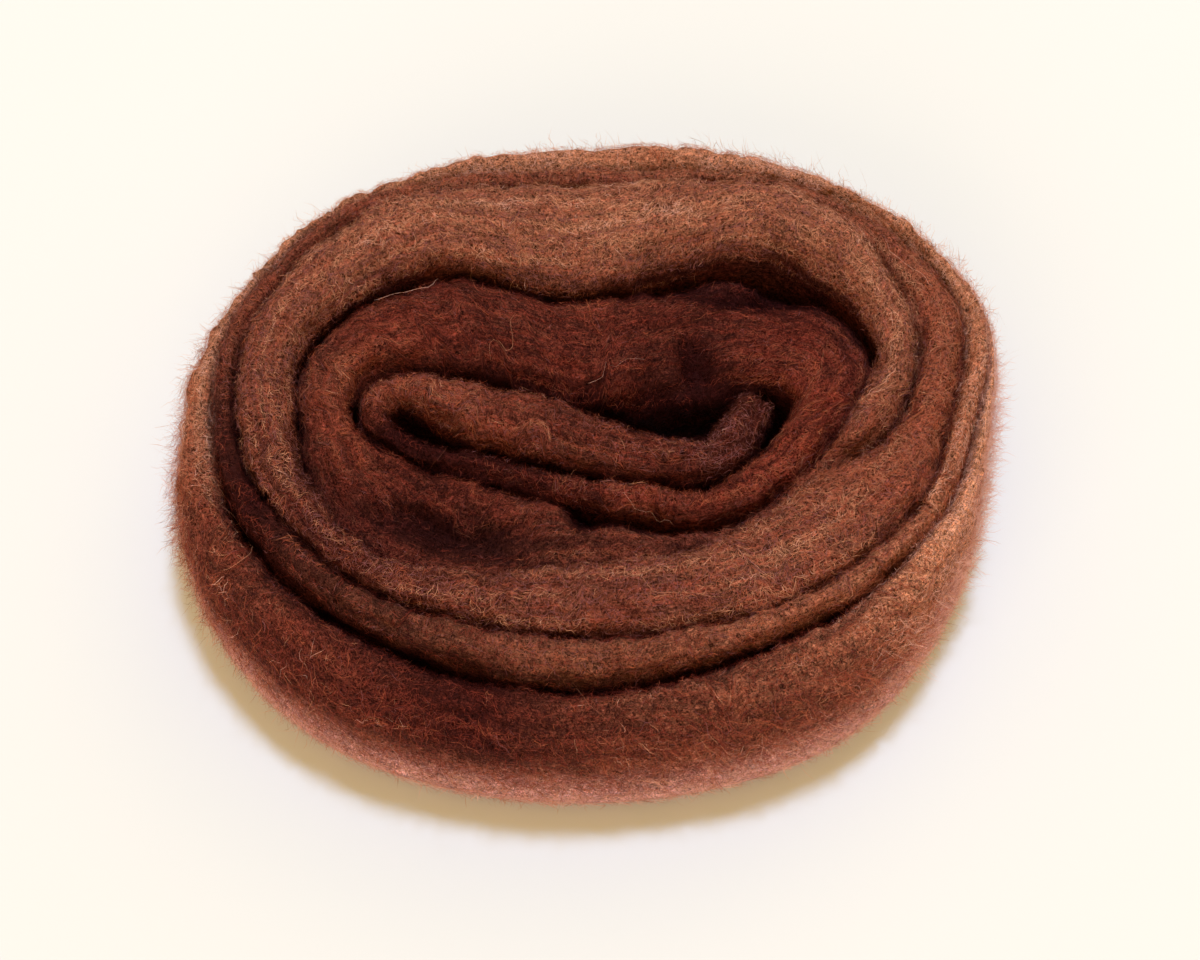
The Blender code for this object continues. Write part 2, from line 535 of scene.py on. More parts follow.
STRETCHES = (
    Stretch(-99.0, TAIL_BLEND, dye_and_painted_lightness=-0.7, red=0.0),  # tail
    Stretch(-1.5, CORE_BLEND, dye_and_painted_lightness=-0.9, red=0.1),  # core
    Stretch(1.5, CORE_BLEND, dye_and_painted_lightness=0.0, red=0.3, painted_glow_and_pale_dye=0.03),  # core, towards the hook
    Stretch(3.8, CORE_BLEND, dye_and_painted_lightness=0.2, red=0.3, painted_glow_and_pale_dye=0.06),  # hook
    Stretch(5.0, CORE_BLEND, dye_and_painted_lightness=-1.5, red=0.5),  # lower limb
    Stretch(7.6, CORE_BLEND, dye_and_painted_lightness=-1.2, red=0.5),
    Stretch(9.0, BAND_BLEND, dye_and_painted_lightness=0.3, red=0.5),  # where it rises
    Stretch(12.5, BAND_BLEND, dye_and_painted_lightness=0.0, red=0.7),  # band, far side
    Stretch(14.2, BAND_BLEND, dye_and_painted_lightness=-0.7, red=0.2),
    Stretch(16.0, BAND_BLEND, dye_and_painted_lightness=-0.4, red=0.3),
    Stretch(17.5, BAND_BLEND, dye_and_painted_lightness=0.5, red=0.4, painted_glow_and_pale_dye=0.06),  # band, left
    Stretch(19.5, BAND_BLEND, dye_and_painted_lightness=-0.5, red=0.4),  # band, near side
    Stretch(23.5, RING_BLEND, dye_and_painted_lightness=0.0, red=0.1, painted_glow_and_pale_dye=0.12),  # ring, right
    Stretch(25.5, RING_BLEND, dye_and_painted_lightness=0.5, red=0.1, painted_glow_and_pale_dye=0.25),  # ring, far side
    Stretch(27.5, RING_BLEND, dye_and_painted_lightness=0.4, red=0.1, painted_glow_and_pale_dye=0.22),
    Stretch(29.5, RING_BLEND, dye_and_painted_lightness=-0.1, red=0.2, painted_glow_and_pale_dye=0.08),  # ring, left
    Stretch(31.5, RING_BLEND, dye_and_painted_lightness=-0.9, red=0.1),  # ring, near side
    Stretch(34.5, RIDGE_BLEND, dye_and_painted_lightness=0.4, red=0.3, painted_glow_and_pale_dye=0.12),  # ridge, right
    Stretch(36.5, RIDGE_BLEND, dye_and_painted_lightness=0.7, red=0.5, painted_glow_and_pale_dye=0.12),
    Stretch(38.5, RIDGE_BLEND, dye_and_painted_lightness=0.9, red=0.3, painted_glow_and_pale_dye=0.2),  # ridge, far side
    Stretch(43.0, RIDGE_BLEND, dye_and_painted_lightness=-1.8, red=0.1),  # ridge, near side
    Stretch(47.0, OUTSIDE_BLEND, dye_and_painted_lightness=0.4, red=0.3, painted_glow_and_pale_dye=0.4),
    Stretch(48.6, PAINTED_RIM_LIGHT_BLEND, dye_and_painted_lightness=0.7, red=0.1, painted_glow_and_pale_dye=0.6),  # outside turn, far side and left
    Stretch(53.5, PAINTED_RIM_LIGHT_BLEND, dye_and_painted_lightness=0.6, red=0.3, painted_glow_and_pale_dye=0.52),
    Stretch(54.8, OUTSIDE_BLEND, dye_and_painted_lightness=-0.5, red=0.6, painted_glow_and_pale_dye=0.1),  # outside turn, near side
    Stretch(56.6, OUTSIDE_BLEND, dye_and_painted_lightness=-1.2, red=0.7),
    Stretch(58.2, OUTSIDE_BLEND, dye_and_painted_lightness=-0.3, red=0.4, painted_glow_and_pale_dye=0.35),
    Stretch(59.0, PALE_HAIR_AND_RIM_LIGHT_BLEND, dye_and_painted_lightness=1.2, red=0.0, painted_glow_and_pale_dye=1.0),  # outside turn, right
)

RIM = (
    Bearing(crease=(7.0, 16.5, 24.3, 31.6, 34.8), crown=(22.0, 22.5, 27.0, 26.5, 26.0)),
    Bearing(crease=(12.8, 27.0, 32.8, 40.6, 44.4), crown=(22.0, 23.5, 28.5, 26.5, 25.5)),
    Bearing(crease=(6.5, 30.8, 41.6, 44.1, 48.9), crown=(22.0, 21.0, 29.5, 26.0, 25.5)),
    Bearing(crease=(4.2, 20.2, 37.3, 40.6, 48.1), crown=(22.0, 25.0, 30.0, 26.5, 26.0)),
    Bearing(crease=(8.8, 27.0, 39.0, 41.8, 46.3), crown=(22.0, 25.5, 29.5, 27.0, 25.0)),
    Bearing(crease=(15.0, 25.0, 33.0, 36.2, 40.6), crown=(22.0, 25.0, 29.0, 27.0, 24.0)),
    Bearing(crease=(12.4, 20.6, 28.7, 31.7, 38.6), crown=(22.0, 25.0, 28.5, 27.0, 24.0)),
    Bearing(crease=(9.6, 23.2, 30.2, 34.5, 43.5), crown=(22.0, 22.0, 28.0, 27.0, 24.0)),
    Bearing(crease=(8.6, 28.9, 34.2, 38.5, 50.0), crown=(22.0, 20.0, 28.0, 27.0, 23.5)),
    Bearing(crease=(11.9, 23.4, 35.0, 41.2, 51.2), crown=(22.0, 18.5, 28.5, 26.5, 23.5)),
    Bearing(crease=(16.6, 20.8, 34.4, 37.8, 49.4), crown=(22.0, 18.5, 28.0, 26.0, 24.0)),
    Bearing(crease=(15.0, 17.8, 32.0, 35.2, 41.0), crown=(22.0, 20.5, 27.0, 25.5, 24.5)),
)
# The inner creases on the last two bearings before the band's turn, where the strand rises.
FOLD_CREASE = (11.6, 7.6)
# The outer creases and the crowns on the three bearings past the last turn, where it ends.
END_CREASE = (37.6, 45.6, 53.0)
END_CROWN = (24.5, 20.0, 16.0)
# The crown's share of the width at each bearing of the band and of the ring.
BAND_CREST = (0.5, 0.5, 0.5, 0.5, 0.5, 0.5, 0.5, 0.4, 0.3, 0.34, 0.46, 0.5)
RING_CREST = (0.5, 0.54, 0.62, 0.67, 0.62, 0.54, 0.5, 0.5, 0.5, 0.5, 0.5, 0.5)
DEPTHS = (
    Quarter(core=6.0, band=6.5, ring=8.5, ridge=5.5, outside=3.0),
    Quarter(core=9.0, band=7.5, ring=6.0, ridge=6.0, outside=7.0),
    Quarter(core=6.5, band=4.5, ring=3.2, ridge=8.5, outside=7.0),
    Quarter(core=5.5, band=10.0, ring=3.0, ridge=9.0, outside=7.0),
)
CORE = (
    CoreRow(x=24.4, y=5.2, width=4.6, crown=20.5),
    CoreRow(x=22.3, y=1.2, width=6.8, crown=22.0),
    CoreRow(x=18.3, y=-4.0, width=7.2, crown=22.5, crest=0.45),
    CoreRow(x=12.5, y=-4.8, width=8.0, crown=22.5, crest=0.42),
    CoreRow(x=3.5, y=-2.8, width=8.8, crown=22.5, crest=0.4),
    CoreRow(x=-6.5, y=0.5, width=9.4, crown=23.0, crest=0.4),
    CoreRow(x=-16.5, y=2.8, width=8.8, crown=24.0, crest=0.42),
    CoreRow(x=-25.8, y=5.8, width=4.8, crown=24.0, crest=0.45),
    CoreRow(x=-30.2, y=2.4, width=4.0, crown=23.0),
    CoreRow(x=-27.3, y=-1.6, width=3.2, crown=21.5),
    CoreRow(x=-21.5, y=-3.8, width=3.2, crown=20.0),
    CoreRow(x=-12.5, y=-5.8, width=3.8, crown=20.0),
    CoreRow(x=-2.5, y=-8.9, width=3.8, crown=20.5),
    CoreRow(x=7.0, y=-10.9, width=4.8, crown=21.5),
)
DENTS = (
    Dent(x=-18.0, y=-14.8, length=11.0, width=3.0, turn=-13.0, depth=4.0),  # beside the core
    Dent(x=25.0, y=24.0, length=8.0, width=2.0, turn=3.0, depth=4.0),  # under the ring
    Dent(x=16.0, y=12.5, length=4.0, width=2.6, turn=-70.0, depth=4.0),  # across the band
    Dent(x=13.7, y=2.8, length=4.0, width=2.0, turn=0.0, depth=2.5),  # at the tail's bend
    Dent(x=0.3, y=-11.3, length=2.6, width=2.0, turn=0.0, depth=3.5),  # at the lower limb
    Dent(x=0.5, y=18.8, length=8.0, width=2.4, turn=0.0, depth=-1.2),  # up, on the band
)


def read_stretches(wound: np.ndarray, column: Callable[[Stretch], float]) -> np.ndarray:
    """Reads one number of the stretches, which column gives, at each winding."""
    starts = [stretch.start for stretch in STRETCHES]
    return np.interp(wound, starts, [column(stretch) for stretch in STRETCHES])


def smooth_along(rows: np.ndarray, place: np.ndarray) -> np.ndarray:
    """Reads a smooth curve through even rows.

    Args:
        rows: One row of values for each whole place.
        place: Where to read, counted in rows.

    Returns:
        The values at each place.
    """
    flat = rows.ndim == 1
    if flat:
        rows = rows[:, None]
    last = len(rows) - 1
    row = np.clip(np.floor(place).astype(int), 0, last - 1)
    share = (place - row)[:, None]
    before, start = rows[np.maximum(row - 1, 0)], rows[row]
    end, after = rows[row + 1], rows[np.minimum(row + 2, last)]
    curve = 0.5 * (
        2 * start
        + (end - before) * share
        + (2 * before - 5 * start + 4 * end - after) * share**2
        + (3 * start - before - 3 * end + after) * share**3
    )
    return curve[:, 0] if flat else curve


def drift(seed: int, waves: int, places: np.ndarray, sizes: tuple[float, ...]) -> np.ndarray:
    """A smooth random value at each place, on average 0 and with a spread of 1.

    Args:
        seed: The seed of the value.
        waves: How many waves are added together.
        places: The places, with their coordinates on the last axis.
        sizes: How far the value carries along each coordinate.

    Returns:
        One value for each place.
    """
    chance = np.random.default_rng(seed)
    total = np.zeros(places.shape[:-1])
    for _ in range(waves):
        pull = chance.normal(0.0, 1.0, len(sizes)) / np.array(sizes)
        total += np.sin(TAU * (places @ pull) + chance.uniform(0.0, TAU))
    return total * math.sqrt(2.0 / waves)


def unit(vectors: np.ndarray) -> np.ndarray:
    """Scales the vectors on the last axis to a length of 1."""
    return vectors / np.maximum(np.linalg.norm(vectors, axis=-1, keepdims=True), TINY)


@dataclass
class WoundStrand:
    """The strand as it is wound: a grid of places along it and across it.

    Sizes are in millimetres, windings are counted in bearings, and the grid is in metres. The
    turns start where the strand rises from the core, at rise_bearing, and end at end_bearing.
    Where the outside turn opens into the cake's wall, its foot and belly take the wall's sizes.
    """

    # How the turns are laid out.
    fold_half: float = 20.0
    air: float = 0.12
    full_turns: int = 5
    rise_bearing: float = 10.0
    end_bearing: float = 61.6
    opening: float = 1.8
    end_lift: float = 7.0
    plan_middle: Pair = (0.043, -1.528)
    lump_height: float = 0.5
    lumps_per_turn: tuple[float, ...] = (5.3, 11.7)
    # The shape of a section; the limits are shares of its width.
    foot_round: float = 0.8
    foot_limit: float = 0.25
    wall_belly: float = 10.5
    wall_round: float = 5.5
    wall_limit: float = 0.5
    fullness: float = 2.3
    crest_shift: float = 0.12
    # How much the depth of a crease changes along it, as a share, and over how many bearings.
    crease_change: float = 0.25
    crease_limit: float = 1.2
    crease_run: float = 1.6
    crease_waves: int = 12
    crease_seed: int = 77
    # How fine the grid is. The steps of the rough layout are in core rows and in bearings, and
    # curve_points are those of a section's four curves, from its inner foot to its outer one.
    core_step: float = 0.05
    turn_step: float = 0.02
    heading_step: float = 0.01
    step: float = 0.8
    across: int = 48
    curve_points: tuple[int, ...] = (8, 16, 20, 14)
    buried_share: float = 0.3
    buried_depth: float = 2.0
    girth: float = 75.0
    # How far the skin is drawn in under its fibres, and where: by its height over the floor, by
    # the strand's width for all of it and for the wall, and by the share of that width.
    inset: float = 0.3
    wall_inset: float = 1.0
    wall_clear: float = 1.5
    thinnest: float = 0.1
    off_floor: Slope = Slope(2.0, 4.0)
    thick: Slope = Slope(0.5, 3.5)
    wall_thick: Slope = Slope(0.0, 4.0)
    outer_part: Slope = Slope(0.5, 0.5)
    # What is in the open: by height over the crease, and on the wall by height over the floor.
    shown_edge: Slope = Slope(-1.0, 2.0)
    shown_wall: Slope = Slope(0.3, 1.5)
    # The colours: painted shade by depth under the crown, and how high the painted bounce glow on
    # the wall reaches.
    painted_crease_shade: Slope = Slope(1.5, 5.5)
    wall_lead: float = 0.5
    pale_wall: float = 18.0
    pale_curve: float = 1.5
    pale: float = 4.5
    wall_painted_glow: float = 2.0
    dusk: float = 1.5
    # The relief: how far up dents begin to count, how much painted shade a dent adds, and the
    # length and the number of the folds.
    dent_top: Slope = Slope(8.0, 8.0)
    dent_painted_shade: float = 0.4
    fold_lengths: Pair = (22.0, 95.0)
    fold_waves: tuple[int, int] = (3, 15)
    # What is worked out: for each station, and for each place of the grid.
    columns: dict[str, np.ndarray] = field(init=False, default_factory=dict)
    length: float = field(init=False)
    section: np.ndarray = field(init=False)
    outer_half: np.ndarray = field(init=False)
    grid: np.ndarray = field(init=False)
    normals: np.ndarray = field(init=False)
    shown: np.ndarray = field(init=False)
    dye_and_painted_light: np.ndarray = field(init=False)
    painted_glow_and_pale_dye: np.ndarray = field(init=False)
    pink: np.ndarray = field(init=False)

    def __post_init__(self) -> None:
        """Winds the strand once its sizes are known."""
        self._lay_out()
        self._shape()

    @property
    def last_turn(self) -> int:
        """The winding at which the outside turn starts."""
        return (self.full_turns - 1) * len(RIM)

    def _unroll(self, column: Callable[[Bearing], tuple[float, ...]]) -> np.ndarray:
        """Lays one column of the rim's table out along the strand, turn after turn."""
        return np.array([column(row)[turn] for turn in range(self.full_turns) for row in RIM])

    def _turn_columns(self, wound: np.ndarray) -> dict[str, np.ndarray]:
        """The stations of the turns.

        Args:
            wound: The winding of each station, counted in bearings.

        Returns:
            Each station's sides, crown, creases and openness, by name.
        """
        per_turn = len(RIM)
        creases = np.concatenate([FOLD_CREASE, self._unroll(lambda row: row.crease), END_CREASE])
        crowns = np.concatenate([self._unroll(lambda row: row.crown), END_CROWN])
        crests = np.full(len(crowns), EVEN_CREST)
        uneven = BAND_CREST + RING_CREST
        crests[per_turn : per_turn + len(uneven)] = uneven
        deeps = [astuple(row)[turn] for turn in range(self.full_turns) for row in DEPTHS]
        deeps = np.array([*deeps, DEPTHS[0].outside, DEPTHS[0].outside])
        per_depth = len(DEPTHS) / per_turn
        inner = smooth_along(creases, wound - per_turn + len(FOLD_CREASE)) + self.air / 2
        outer = smooth_along(creases, wound + len(FOLD_CREASE)) - self.air / 2
        outer = np.maximum(outer, inner + self.air)
        lumps = sum(np.sin(TAU * count * wound / per_turn) for count in self.lumps_per_turn)
        lumps = self.lump_height * lumps / len(self.lumps_per_turn)
        opened = Slope(self.last_turn, self.opening).share(wound)
        opened = opened * opened * (3 - 2 * opened)
        last = self.full_turns * per_turn
        ending = np.maximum(wound - last, 0.0) / (self.end_bearing - last)
        return {
            "inner": self._rim_point(wound, inner),
            "outer": self._rim_point(wound, outer),
            "crown": smooth_along(crowns, wound) + lumps,
            "crest": smooth_along(crests, wound) - self.crest_shift * opened,
            "inner_depth": smooth_along(deeps, np.maximum(wound - per_turn, 0.0) * per_depth),
            "outer_depth": smooth_along(deeps, wound * per_depth),
            "opened": opened,
            "lift": self.end_lift * ending * ending,
            "wound": wound,
        }

    def _rim_point(self, bearing: np.ndarray, distance: np.ndarray) -> np.ndarray:
        """The plan points at distances from the fold line.

        Args:
            bearing: The bearings, counted from the fold line's right end.
            distance: How far from the fold line.

        Returns:
            One plan point a row.
        """
        angle = TAU * bearing / len(RIM)
        reach = np.stack([(self.fold_half + distance) * np.cos(angle), distance * np.sin(angle)])
        return reach.T

    def _core_columns(self, place: np.ndarray) -> dict[str, np.ndarray]:
        """The stations of the tail, the core, the hook and the lower limb.

        Args:
            place: Where each station is, counted in core rows.

        Returns:
            The same columns as those of the turns.
        """
        rows = [np.array(astuple(row)) for row in CORE]
        join = self._turn_columns(self.rise_bearing + np.arange(2.0))
        for inner, outer, crown in zip(join["inner"], join["outer"], join["crown"]):
            width = np.linalg.norm(outer - inner)
            rows.append(np.array([*((inner + outer) / 2), width, crown, EVEN_CREST]))
        table = np.array(rows)
        x, y, width, crown, crest = smooth_along(table, place).T
        middle = np.stack([x, y]).T
        heading = unit(smooth_along(table, place + self.heading_step)[:, :2] - middle)
        side = np.stack([heading[:, 1], -heading[:, 0]]).T * width[:, None] / 2
        level = np.full(len(place), DEPTHS[0].core)
        none = np.zeros(len(place))
        return {
            "inner": middle - side,
            "outer": middle + side,
            "crown": crown,
            "crest": crest,
            "inner_depth": level,
            "outer_depth": level,
            "opened": none,
            "lift": none,
            "wound": self.rise_bearing - (len(CORE) - place),
        }

    def _lay_out(self) -> None:
        """Sets the stations at even steps along the strand."""
        core = self._core_columns(np.arange(0.0, len(CORE), self.core_step))
        end = self.end_bearing + self.turn_step / 2
        turns = self._turn_columns(np.arange(self.rise_bearing, end, self.turn_step))
        rough = {name: np.concatenate([core[name], turns[name]]) for name in core}
        middle = (rough["inner"] + rough["outer"]) / 2
        paces = np.linalg.norm(np.diff(middle, axis=0), axis=1)
        walked = np.concatenate([[0.0], np.cumsum(paces)])
        even = np.linspace(0.0, walked[-1], round(walked[-1] / self.step))
        for name, values in rough.items():
            apart = values.reshape(len(values), -1).T
            read = np.stack([np.interp(even, walked, column) for column in apart], axis=1)
            self.columns[name] = read.reshape(len(even), *values.shape[1:])
        self.columns["walked"] = even
        self.length = even[-1] * MM
        LOG.info("the strand is %.2f m long, in %d stations", self.length, len(even))

    def _quarter(
        self, start: np.ndarray, end: np.ndarray, bulge_at_end: bool, steps: int
    ) -> list[np.ndarray]:
        """Points on a full quarter curve between two places of every section.

        Args:
            start: The places where the curve starts, one a row.
            end: The places where it ends.
            bulge_at_end: True if it reaches its end upright, False if it leaves its start so.
            steps: How many points it has.

        Returns:
            The points after the start, each an array with one row a station.
        """
        points = []
        for step in range(1, steps + 1):
            angle = step / steps * math.pi / 2
            rise = math.sin(angle) ** (2 / self.fullness)
            reach = 1 - math.cos(angle) ** (2 / self.fullness)
            if bulge_at_end:
                rise, reach = reach, rise
            points.append(start + (end - start) * np.array([reach, rise]))
        return points

    def _shape(self) -> None:
        """Works out the grid from the stations' sections."""
        c = self.columns
        width = np.linalg.norm(c["outer"] - c["inner"], axis=1)
        outward = (c["outer"] - c["inner"]) / width[:, None]
        foot = np.minimum(self.foot_round, width * self.foot_limit)
        wall_foot = self.foot_round + (self.wall_round - self.foot_round) * c["opened"]
        wall_foot = np.minimum(wall_foot, width * self.wall_limit)
        deeper = 1 + self._crease_change()
        c["width"] = width
        c["inner_shoulder"] = c["crown"] - np.minimum(c["inner_depth"], width) * deeper[:, 0]
        c["outer_shoulder"] = c["crown"] - np.minimum(c["outer_depth"], width) * deeper[:, 1]
        belly = c["outer_shoulder"] + (self.wall_belly - c["outer_shoulder"]) * c["opened"]
        corners = (
            np.stack([foot, c["lift"]], axis=1),
            np.stack([np.zeros(len(width)), c["inner_shoulder"]], axis=1),
            np.stack([width * c["crest"], c["crown"]], axis=1),
            np.stack([width, belly], axis=1),
            np.stack([width - wall_foot, c["lift"]], axis=1),
        )
        outline = [corners[0]]
        for leg, steps in enumerate(self.curve_points):
            outline += self._quarter(corners[leg], corners[leg + 1], leg % 2 == 0, steps)
        outline.append(corners[0])
        self.section = self._spread(np.stack(outline, axis=1))
        self.outer_half = self.section[..., 0] > width[:, None] / 2
        plan = c["inner"][:, None, :] + outward[:, None, :] * self.section[..., :1]
        plan -= np.array(self.plan_middle)
        self.grid = np.concatenate([plan, self.section[..., 1:]], axis=2) * MM
        self.normals = self._find_normals()
        self.shown = self._shown_share()
        self._shade()
        self._push(-self.inset - self.wall_inset * self._outside_share())

    def _crease_change(self) -> np.ndarray:
        """How much deeper or shallower than its table the crease on each side is.

        Returns:
            One row a station, with the inner and the outer side's change.
        """
        changes = []
        for side in (len(RIM), 0):
            places = (self.columns["wound"] - side)[:, None]
            changes.append(drift(self.crease_seed, self.crease_waves, places, (self.crease_run,)))
        limit = self.crease_limit
        return self.crease_change * np.clip(np.stack(changes, axis=1), -limit, limit)

    def _spread(self, profile: np.ndarray) -> np.ndarray:
        """Spreads each section's points evenly, with fewer deep down in the creases.

        Args:
            profile: The closed sections, a row of points a station.

        Returns:
            The sections with the wanted count of points each, not closed.
        """
        made = np.zeros((len(profile), self.across, 2))
        c = self.columns
        creases = np.minimum(c["inner_shoulder"], c["outer_shoulder"])
        for row, points in enumerate(profile):
            steps = np.linalg.norm(np.diff(points, axis=0), axis=1)
            middle = (points[1:] + points[:-1]) / 2
            bare = c["opened"][row] * (middle[:, 0] > points[:, 0].max() / 2)
            deep = creases[row] - middle[:, 1] > self.buried_depth
            weight = np.where(deep, np.maximum(self.buried_share, bare), 1.0)
            reach = np.concatenate([[0.0], np.cumsum(steps * weight)])
            places = np.linspace(0.0, reach[-1], self.across + 1)[:-1]
            for axis in (0, 1):
                made[row, :, axis] = np.interp(places, reach, points[:, axis])
        return made

    def _shown_share(self) -> np.ndarray:
        """How far each place of the grid is out in the open.

        Returns:
            One share for each place, from 0 to 1.
        """
        c = self.columns
        height = self.section[..., 1]
        shoulders = (c["outer_shoulder"][:, None], c["inner_shoulder"][:, None])
        above = self.shown_edge.share(height - np.where(self.outer_half, *shoulders))
        wall = c["opened"][:, None] * self.outer_half * self.shown_wall.share(height)
        return np.maximum(above, wall)

    def _shade(self) -> None:
        """Sets how light, how pale and how pink the wool is at each place of the grid, mostly as
        painted light and shade.

        The wool is lighter than its blend, or darker below 0, by its stretch's dye and painted
        light, by painted bounce glow low on the outer wall, and by painted shade deep under the
        crown. The pale share is the stretch's painted glow and lighter dye, less of it in that
        painted shade, with painted bounce glow low on the wall, which the pink share tints.
        """
        wound = self.columns["wound"]
        height = self.section[..., 1]
        wall = Slope(self.last_turn - self.wall_lead, self.wall_lead).share(wound)
        outside = wall[:, None] * self.outer_half
        # Painted shade deep under the crown, kept off the outer wall.
        painted_crease_shade = self.painted_crease_shade.share(self.columns["crown"][:, None] - height) * (1 - outside)
        up_wall = Slope(0.0, self.pale_wall).share(height)
        low_wall = (1.0 - up_wall) ** self.pale_curve * outside
        painted_glow_and_pale_dye = read_stretches(wound, lambda stretch: stretch.painted_glow_and_pale_dye)[:, None]
        dye_and_painted_lightness = read_stretches(wound, lambda stretch: stretch.dye_and_painted_lightness)[:, None]
        # Painted glow: the stretch's glow and lighter dye, less in the painted crease shade, plus
        # painted bounce glow low on the wall, which the pink share tints.
        self.painted_glow_and_pale_dye = np.clip(painted_glow_and_pale_dye * (1 - painted_crease_shade) + self.wall_painted_glow * low_wall, 0.0, 1.0)
        self.pink = np.clip(self.wall_painted_glow * low_wall, 0.0, 1.0)
        # Painted light and shade: the stretch's own lightness, painted bounce glow low on the outer
        # wall, and painted shade deep under the crown.
        self.dye_and_painted_light = dye_and_painted_lightness + self.pale * low_wall - self.dusk * painted_crease_shade

    def _outside_share(self) -> np.ndarray:
        """How much each place of the grid belongs to the cake's outer wall.

        Returns:
            One share for each place, from 0 to 1.
        """
        width = self.columns["width"]
        reach = self.section[..., 0] / np.maximum(width, self.thinnest)[:, None]
        clear = Slope(self.last_turn + self.opening, self.wall_clear)
        share = clear.share(self.columns["wound"]) * self.wall_thick.share(width)
        return share[:, None] * self.outer_part.share(reach)

    def _push(self, relief: np.ndarray) -> None:
        """Moves the skin out where it is off the floor, and less where the strand is thin.

        Args:
            relief: How far to move each place, in millimetres.
        """
        off_floor = self.off_floor.share(self.grid[..., 2] / MM)
        thick = self.thick.share(self.columns["width"])[:, None]
        self.grid += self.normals * (relief * off_floor * thick * MM)[..., None]
        self.normals = self._find_normals()

    def _find_normals(self) -> np.ndarray:
        """The outward direction at every place of the grid.

        Returns:
            One unit vector for each place.
        """
        ahead = np.gradient(self.grid, axis=0)
        aside = np.roll(self.grid, -1, axis=1) - np.roll(self.grid, 1, axis=1)
        return unit(np.cross(aside, ahead))

    def press(self, dents: Sequence[Dent]) -> None:
        """Pushes the grid down where the wool is dented, and paints shade there, or light where it
        is pushed up.

        Args:
            dents: The places to push.
        """
        for dent in dents:
            turn = math.radians(dent.turn)
            dx = self.grid[..., 0] / MM - dent.x
            dy = self.grid[..., 1] / MM - dent.y
            along = (dx * math.cos(turn) + dy * math.sin(turn)) / dent.length
            aside = (-dx * math.sin(turn) + dy * math.cos(turn)) / dent.width
            push = dent.depth * np.exp(-(along**2 + aside**2))
            top = self.dent_top.share(self.grid[..., 2] / MM)
            self.grid[..., 2] -= push * top * MM
            # Painted shade in the dent, or painted light where the wool is pushed up.
            self.dye_and_painted_light -= self.dent_painted_shade * push * top
        self.normals = self._find_normals()

    def ruffle(self, seed: int, folds: int, height: float) -> None:
        """Raises long folds that run with the strand and wander across it.

        Args:
            seed: The seed of the folds' places.
            folds: How many waves are added together.
            height: Their height together, in millimetres.
        """
        chance = np.random.default_rng(seed)
        walked = self.columns["walked"][:, None]
        round_share = np.arange(self.across)[None, :] / self.across
        relief = np.zeros(self.grid.shape[:2])
        for _ in range(folds):
            length = chance.uniform(*self.fold_lengths)
            waves = chance.integers(*self.fold_waves)
            phase = chance.uniform(0.0, TAU)
            along = TAU * walked / length
            relief += np.sin(along + TAU * waves * round_share + phase) / math.sqrt(waves)
        self._push(relief * height / math.sqrt(folds))

    def tuft(self, seed: int, waves: int, size: float, height: float) -> None:
        """Raises soft tufts of a size and a height in millimetres, out of that many waves."""
        self._push(drift(seed, waves, self.grid / MM, (size, size, size)) * height)

    def tones(self) -> dict[Tone, np.ndarray]:
        """What the skin's points carry for its material.

        Returns:
            One share for each place of the grid, for each tone.
        """
        red = read_stretches(self.columns["wound"], lambda stretch: stretch.red)
        return {
            Tone.REDNESS: np.repeat(red[:, None], self.across, axis=1),
            # Painted shade: the skin darkens where painted shade lies, and where its stretch is
            # darker, partly dye.
            Tone.DUSK: np.clip(-self.dye_and_painted_light / self.dusk, 0.0, 1.0),
            Tone.PALENESS: self.painted_glow_and_pale_dye,
            Tone.PINKNESS: self.pink,
        }

    def spacing(self) -> np.ndarray:
        """How far each place of the grid is from the next one across, in metres."""
        return np.linalg.norm(np.roll(self.grid, -1, axis=1) - self.grid, axis=2)

    def sample(self, along: np.ndarray, across: np.ndarray, values: np.ndarray) -> np.ndarray:
        """Reads values of the grid between its places.

        Args:
            along: Where along the strand, counted in stations.
            across: Where across it, counted in section points.
            values: An array with one entry for each place of the grid.

        Returns:
            The values read.
        """
        stations, points = values.shape[:2]
        along = np.clip(along, 0, stations - LAST_GAP)
        row = along.astype(int)
        column = np.floor(across).astype(int)
        u, v = along - row, across - column
        if values.ndim == 3:
            u, v = u[..., None], v[..., None]
        here, there = column % points, (column + 1) % points
        near = values[row, here] * (1 - v) + values[row, there] * v
        far = values[row + 1, here] * (1 - v) + values[row + 1, there] * v
        return near * (1 - u) + far * u


